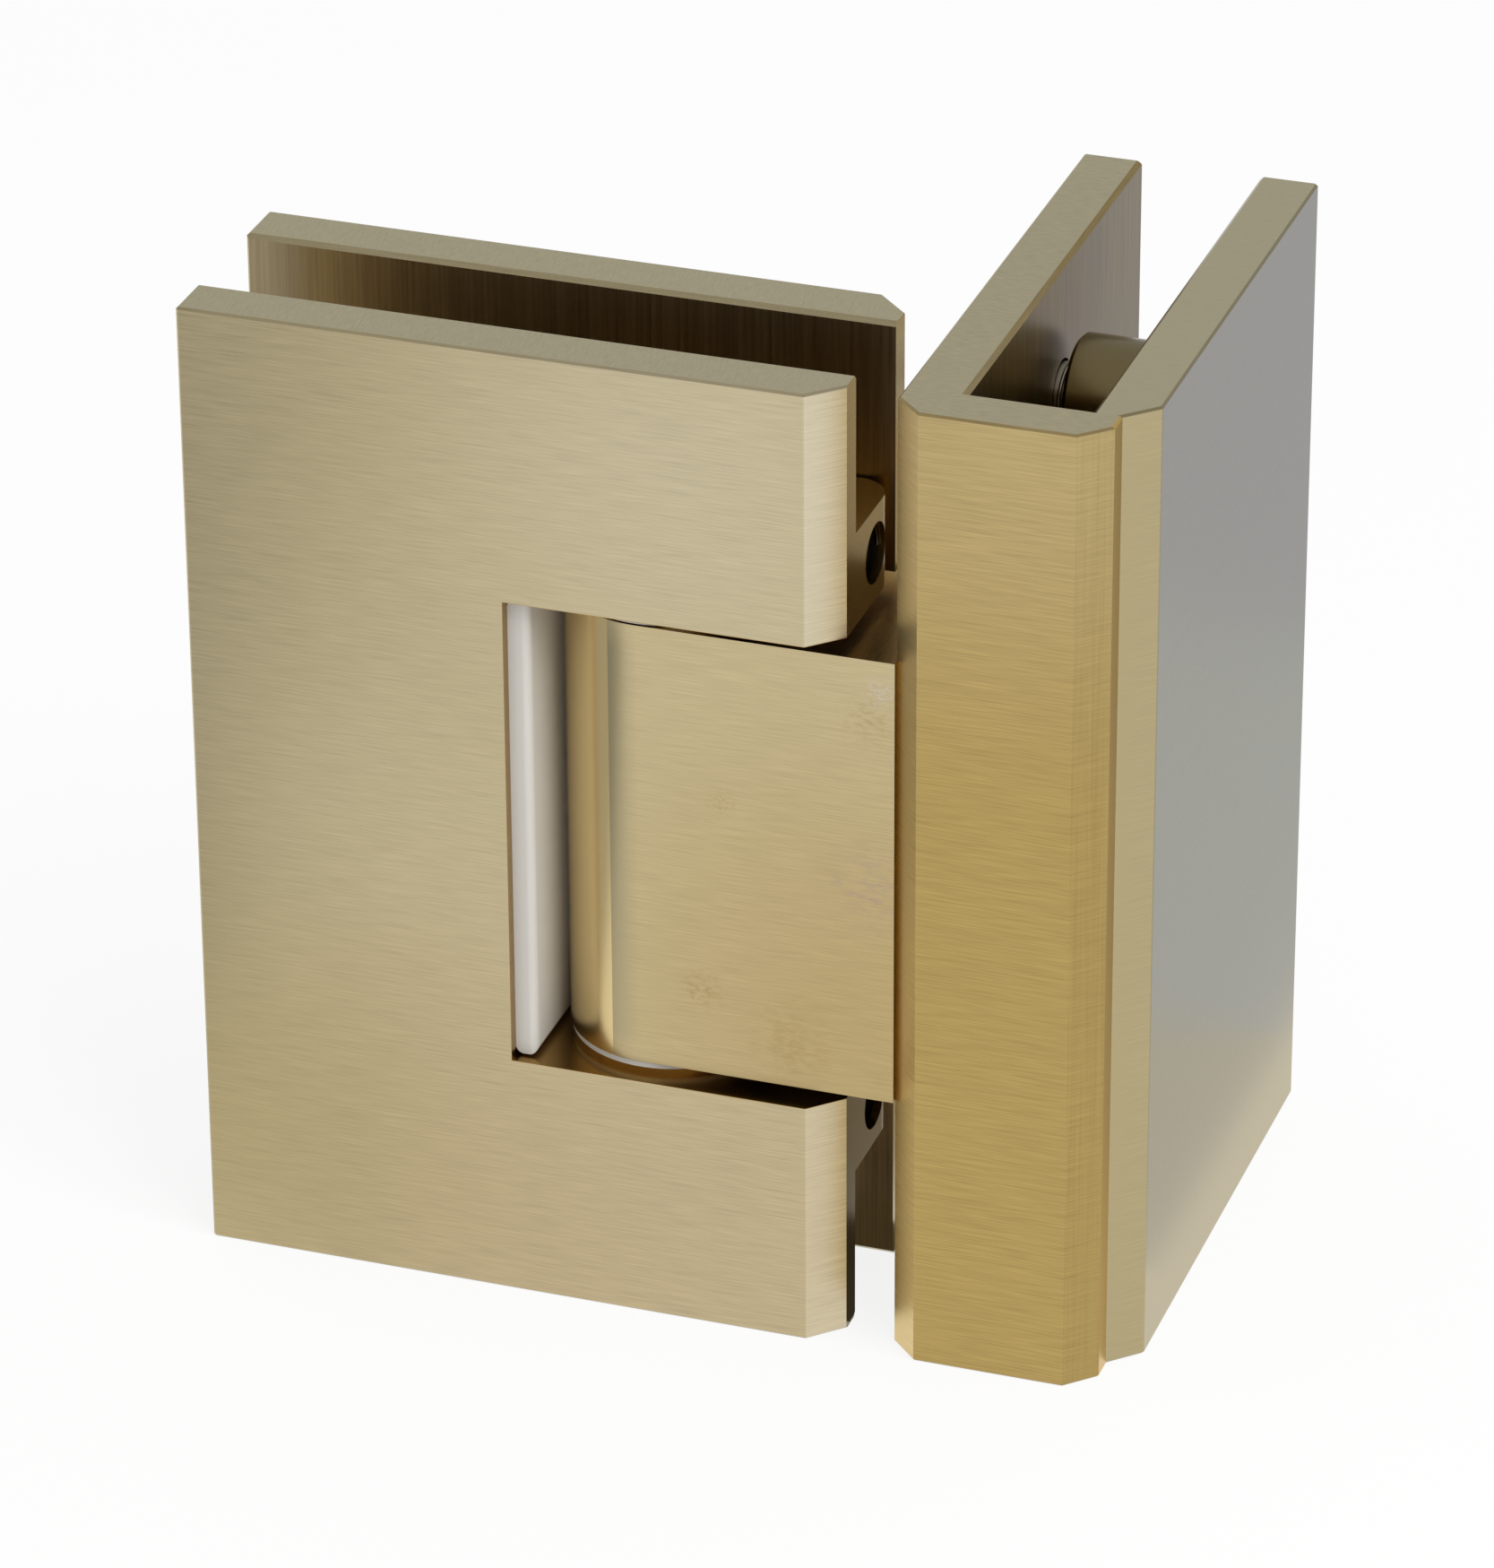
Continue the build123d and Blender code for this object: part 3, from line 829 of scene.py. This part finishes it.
@dataclass
class DoorSide:
    """Door plates, their knuckles and what the pivot pin is held by."""

    thread_pitch: float = 1.0 * MM
    thread_ridge: float = 0.3 * MM
    hole_radius: float = 2.675 * MM
    lead: float = 0.7 * MM
    past: Axis = (0.05 * MM, 0.05 * MM, 0.25 * MM)

    def build(self) -> list[bpy.types.Object]:
        """Cut the threads that show in the knuckles' set screw holes.

        Returns:
            The new pieces.
        """
        low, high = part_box("lower_set_screw")
        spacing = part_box("upper_set_screw")[0].z - low.z
        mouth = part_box("door_front_plate")[1].x
        middle = (low + high) / 2
        start = high.x + self.lead
        tree = ThreadTree("knuckle_thread", THREAD_IN_PAINTED_SHADE.material())
        threads = tree.mesh("knuckle_hole_threads", {
            "Radius": self.hole_radius,
            "Ridge": self.thread_ridge,
            "Pitch": self.thread_pitch,
            "Length": mouth - start - self.lead,
            "Start": (start, middle.y, middle.z),
            "Spacing": (0.0, 0.0, spacing),
            "Turn": LAID_DOWN,
        })
        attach(threads, "door_side")
        return [threads]

    def milled(self) -> tuple[Patch, ...]:
        """The milled block between the plates, the notch that the barrel turns in, and the set screw holes,
        painted dark as the shade inside them.

        Returns:
            Their patches.
        """
        plate_low, plate_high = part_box("door_front_plate")
        back_low, back_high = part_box("door_back_plate")
        pad_low, pad_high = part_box("notch_pad")
        past = Vector(self.past)
        block_low = (plate_low.x, plate_low.y + (back_high.y - back_low.y) + 2 * past.y, plate_low.z)
        block_high = (plate_high.x - past.x, plate_high.y + past.y, plate_high.z + past.z)
        notch_low = Vector((pad_low.x, plate_low.y, pad_low.z)) - past
        notch_high = Vector((plate_high.x, plate_high.y, pad_high.z)) + past
        patches = [
            Patch(block_low, block_high, KNUCKLE_BRASS),
            Patch(tuple(notch_low), tuple(notch_high), MILLED_BRASS),
        ]
        around = Vector((0, self.thread_ridge, self.thread_ridge))
        for screw in ("upper_set_screw", "lower_set_screw"):
            hole_low, hole_high = (Vector(corner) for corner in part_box(screw))
            hole_high.x = plate_high.x - self.lead
            hole = (tuple(hole_low - around), tuple(hole_high + around))
            # Painted shade inside the hole
            patches.append(Patch(*hole, HOLE_PAINTED_SHADE, roughness=0.35))
        return tuple(patches)

    def dress(self) -> None:
        """Finish the door's pieces."""
        dress(replace(DOOR_BRASS, patches=self.milled()), "door_front_plate")
        dress(BACK_BRASS, "door_back_plate")
        dress(STEEL, "door_clamp_screws", "pivot_pin", "upper_set_screw", "lower_set_screw")
        dress(NYLON, "upper_thrust_washer", "lower_thrust_washer", "notch_pad")


@dataclass
class FixedSide:
    """Body, clamp plate and leaf on the fixed panel, with the detent inside the leaf."""

    screw_radius: float = 2.5 * MM
    screw_recess: float = 0.2 * MM
    thread_pitch: float = 0.8 * MM
    thread_ridge: float = 0.2 * MM
    lead: float = 0.3 * MM
    brushed_past_pivot: float = 2.6 * MM
    shade_width: float = 3.0 * MM
    web_chamfer: float = 2.5 * MM

    def build(self) -> list[bpy.types.Object]:
        """Cut the threads of the clamp screws where they cross the channel.

        Returns:
            The new pieces.
        """
        low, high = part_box("fixed_clamp_screws")
        head = (high.y - low.y) / 2
        wall_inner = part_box("leaf_screws")[1].x + self.screw_recess
        start = wall_inner + self.lead
        boss_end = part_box("fixed_clamp_plate")[0].x
        tree = ThreadTree("clamp_screw_thread", STEEL.material())
        threads = tree.mesh("clamp_screw_threads", {
            "Radius": self.screw_radius,
            "Ridge": self.thread_ridge,
            "Pitch": self.thread_pitch,
            "Length": boss_end - self.lead - start,
            "Start": (start, low.y + head, low.z + head),
            "Spacing": (0.0, 0.0, high.z - low.z - 2 * head),
            "Turn": LAID_DOWN,
        })
        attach(threads, "fixed_side")
        return [threads]

    def barrel(self) -> tuple[Patch, ...]:
        """The turned part of the leaf's barrel, lighter and more golden as a painted reflection, and the
        painted shade beside it where the brushing of its flat ends.

        Returns:
            Their patches.
        """
        low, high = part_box("barrel_leaf")
        pin_low, pin_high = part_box("pivot_pin")
        flat = (pin_low.x + pin_high.x) / 2 - self.brushed_past_pivot
        wide = self.shade_width
        shade_low = (flat - wide, low.y - wide, low.z)
        shade_high = (flat + wide, high.y, high.z)
        return (
            # Painted shade beside the turned barrel
            Patch(shade_low, shade_high, SHADED_BRASS, roughness=0.3, soft=wide),
            # Painted reflection on the turned barrel
            Patch(tuple(low), (flat, high.y, high.z), TURNED_BRASS_PAINTED_SHEEN),
        )

    def bosses(self) -> Patch:
        """The turned bosses that stand off the clamp plate, darkened as painted shade inside the channel.

        Returns:
            Their patch.
        """
        plate_low, plate_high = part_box("door_back_plate")
        low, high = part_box("fixed_clamp_plate")
        inner_face = high.x - (plate_high.y - plate_low.y)
        # Painted shade on the bosses inside the channel
        return Patch(tuple(low), (inner_face - self.lead, high.y, high.z), BOSS_BRASS_PAINTED_SHADE)

    def web_end(self) -> Patch:
        """The end of the web, beside the clamp plate's bevel, painted with the golden reflection of the
        brass next to it.

        Returns:
            Its patch.
        """
        low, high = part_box("fixed_body")
        past = self.lead
        end_low = (high.x - past, low.y + self.web_chamfer, low.z - past)
        end_high = (high.x + past, low.y + 2 * self.web_chamfer, high.z + past)
        # Painted reflection on the web's end
        return Patch(end_low, end_high, GOLDEN_PAINTED_REFLECTION, roughness=0.3)

    def dress(self) -> None:
        """Finish the fixed pieces."""
        dress(replace(BODY_BRASS, patches=(self.web_end(),)), "fixed_body")
        dress(replace(CLAMP_BRASS, patches=(self.bosses(),)), "fixed_clamp_plate")
        dress(replace(LEAF_BRASS, patches=self.barrel()), "barrel_leaf")
        dress(STEEL, "fixed_clamp_screws", "leaf_screws", "detent_plunger", "detent_spring")
        dress(NYLON, "upper_bush", "lower_bush")


# Studio
def direction(azimuth: float, elevation: float) -> Vector:
    """Where a thing stands, seen from the hinge.

    Args:
        azimuth: degrees from the front, positive to the right.
        elevation: degrees above the floor.

    Returns:
        The unit vector towards it.
    """
    turn, rise = math.radians(azimuth), math.radians(elevation)
    return Vector((math.sin(turn) * math.cos(rise), -math.cos(turn) * math.cos(rise), math.sin(rise)))


@dataclass(frozen=True)
class Softbox:
    """A square lamp that faces the hinge and leaves no bright spot on its metal."""

    name: str
    azimuth: float
    elevation: float
    distance: float
    side: float
    power: float

    def build(self, aim: Vector) -> None:
        """Hang the lamp.

        Args:
            aim: the point that it faces.
        """
        data = bpy.data.lights.new(self.name, "AREA")
        data.shape = "SQUARE"
        data.size = self.side
        data.energy = self.power
        lamp = bpy.data.objects.new(self.name, data)
        lamp.visible_glossy = False
        back = direction(self.azimuth, self.elevation)
        lamp.location = aim + back * self.distance
        lamp.rotation_euler = back.to_track_quat("Z", "Y").to_euler()
        bpy.context.scene.collection.objects.link(lamp)


def lay_sheet(name: str, corners: list[Axis], material: bpy.types.Material) -> bpy.types.Object:
    """A flat sheet that belongs to the studio.

    Args:
        name: the sheet's name.
        corners: its corners in order, in metres.
        material: what it is made of.

    Returns:
        The new object.
    """
    mesh = bpy.data.meshes.new(name)
    mesh.from_pydata(corners, [], [tuple(range(len(corners)))])
    mesh.materials.append(material)
    sheet = bpy.data.objects.new(name, mesh)
    bpy.context.scene.collection.objects.link(sheet)
    return sheet


def oblong(left: float, front: float, right: float, back: float) -> tuple[Corner, ...]:
    """The corners of an oblong on the floor.

    Args:
        left: its lowest x.
        front: its lowest y.
        right: its highest x.
        back: its highest y.

    Returns:
        The corners in order.
    """
    return (left, front), (right, front), (right, back), (left, back)


@dataclass(frozen=True)
class Flag:
    """A grey card lying just over the floor, which only the metal's reflections show."""

    name: str
    tone: Colour
    corners: tuple[Corner, ...]
    height: float

    def build(self) -> None:
        """Lay the card."""
        material, sheet = new_sheet(self.name)
        sheet.finish(sheet.glow(self.tone))
        card = lay_sheet(self.name, [(x, y, self.height) for x, y in self.corners], material)
        card.visible_camera = False
        card.visible_diffuse = False
        card.visible_transmission = False
        card.visible_shadow = False


@dataclass(frozen=True)
class Studio:
    """Pale floor, soft surroundings, a softbox and flags."""

    floor_side: float = 8.0
    floor_tone: Colour = (0.97, 0.97, 0.97)
    floor_roughness: float = 0.9
    floor_glow: float = 0.86
    white: Colour = (1.0, 1.0, 1.0)
    front_tone: Colour = (0.60, 0.59, 0.57)
    back_tone: Colour = (0.585, 0.60, 0.63)
    front_to_back: Limits = (-0.5, 0.6)
    lamps: tuple[Softbox, ...] = (
        Softbox("right_softbox", azimuth=60.0, elevation=50.0, distance=0.9, side=0.6, power=5.0),
    )
    flag_height: float = 1 * MM
    flag_reach: float = 0.6
    flag_clear: float = 4 * MM
    left_tone: Colour = (0.45, 0.45, 0.45)
    left_clear: float = 10 * MM
    left_slant: Corner = (-100 * MM, -343 * MM)
    cool_tones: tuple[Colour, ...] = ((0.70, 0.72, 0.76), (0.64, 0.72, 0.90), (0.57, 0.63, 0.84))
    cool_edges: tuple[float, ...] = (-8 * MM, 35 * MM, 115 * MM)
    # Painted shadow: the tone of the dark cards laid in the gaps where the floor is shaded
    gap_shadow_tone: Colour = (0.10, 0.08, 0.05)
    gap_height: float = 0.2 * MM
    gap_depth: float = 9 * MM
    swing_gap_start: float = 0.7

    def build_floor(self) -> None:
        """Lay the floor that the hinge stands on, seen as white with a faint shadow."""
        half = self.floor_side / 2
        material, sheet = new_sheet("floor_paper")
        paper = sheet.principled(
            Base_Color=(*self.floor_tone, 1.0),
            Roughness=self.floor_roughness,
            Specular_IOR_Level=0.0,
        )
        seen = sheet.rays("Camera", "Glossy", "Transmission")
        sheet.finish(sheet.layered(seen * self.floor_glow, paper, sheet.glow(self.white)))
        lay_sheet("floor", [(x, y, 0) for x, y in oblong(-half, -half, half, half)], material)

    def build_world(self) -> None:
        """Surround the hinge with a light front and a cooler back."""
        world = bpy.data.worlds.new("studio")
        world.use_nodes = True
        bpy.context.scene.world = world
        sheet = NodeSheet(world.node_tree)
        behind = sheet.dot(sheet.coordinates("Generated"), BACK).step(*self.front_to_back)
        surroundings = sheet.mix(behind, self.front_tone, self.back_tone)
        background = sheet.node("ShaderNodeBackground", None, {"Color": surroundings, "Strength": 1.0})
        sheet.node("ShaderNodeOutputWorld", None, {"Surface": sheet.signal(background)})

    def side_flags(self) -> list[Flag]:
        """The card that the door's left end reflects, and the cooler ones that the clamp plate reflects.

        Returns:
            The cards.
        """
        low, high = (Vector(corner) for corner in CAD_BOX)
        left = low.x - self.left_clear
        front = low.y - self.flag_clear
        slant_x, slant_y = self.left_slant
        left_corners = (
            (left, front),
            (left + slant_x, front + slant_y),
            (-self.flag_reach, front + slant_y),
            (-self.flag_reach, front),
        )
        flags = [Flag("left_flag", self.left_tone, left_corners, self.flag_height)]
        bands = zip(self.cool_tones, self.cool_edges, (*self.cool_edges[1:], self.flag_reach))
        for number, (tone, near, far) in enumerate(bands, 1):
            corners = oblong(high.x + self.flag_clear, near, self.flag_reach, far)
            flags.append(Flag(f"cool_flag_{number}", tone, corners, self.flag_height))
        return flags

    def gap_shades(self) -> list[Flag]:
        """Dark cards that paint the floor's shadow into the metal's reflections, in the door's glass gap, in
        the gap beside it and in the panel's channel.

        Returns:
            The cards.
        """
        front_low, front_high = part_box("door_front_plate")
        back_low, back_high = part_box("door_back_plate")
        body_low, body_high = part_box("fixed_body")
        plate = back_high.y - back_low.y
        channel_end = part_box("fixed_clamp_plate")[1].x - plate
        swing_front = front_low.y + self.swing_gap_start * plate
        gaps = {
            "door_gap_shade": (front_high.x - self.gap_depth, front_low.y + plate, front_high.x, back_low.y),
            "swing_gap_shade": (front_high.x, swing_front, body_low.x, back_high.y),
            "panel_gap_shade": (body_low.x + plate, body_low.y + plate, channel_end, body_high.y),
        }
        return [Flag(name, self.gap_shadow_tone, oblong(*sides), self.gap_height) for name, sides in gaps.items()]

    def build(self, aim: Vector) -> None:
        """Set up the whole studio.

        Args:
            aim: the point that the lamps face.
        """
        self.build_floor()
        self.build_world()
        for lamp in self.lamps:
            lamp.build(aim)
        for flag in self.side_flags() + self.gap_shades():
            flag.build()
        bpy.context.scene.view_settings.view_transform = "Standard"


@dataclass(frozen=True)
class PhotoCamera:
    """The camera where the photographer stood."""

    azimuth: float = 19.03
    elevation: float = 27.78
    roll: float = -0.34
    lens: float = 186.35
    distance: float = 0.704
    aim: Axis = (0.0009, -0.0055, 0.0414)
    clip_start: float = 0.05

    def build(self) -> None:
        """Place the camera and make it the scene's own."""
        data = bpy.data.cameras.new("photo_camera")
        data.lens = self.lens
        data.clip_start = self.clip_start
        camera = bpy.data.objects.new("photo_camera", data)
        back = direction(self.azimuth, self.elevation)
        turn = back.to_track_quat("Z", "Y").to_matrix() @ Matrix.Rotation(math.radians(self.roll), 3, "Z")
        camera.matrix_world = Matrix.Translation(Vector(self.aim) + back * self.distance) @ turn.to_4x4()
        bpy.context.scene.collection.objects.link(camera)
        bpy.context.scene.camera = camera


def main() -> None:
    """Build and dress the hinge, then set up the studio and the camera."""
    logging.basicConfig(level=logging.INFO, format="%(name)s: %(message)s")
    for side in (DoorSide(), FixedSide()):
        for piece in side.build():
            LOG.info("%s made, %d faces", piece.name, len(piece.data.polygons))
        side.dress()
    camera = PhotoCamera()
    Studio().build(Vector(camera.aim))
    camera.build()


if __name__ == "__main__":
    main()
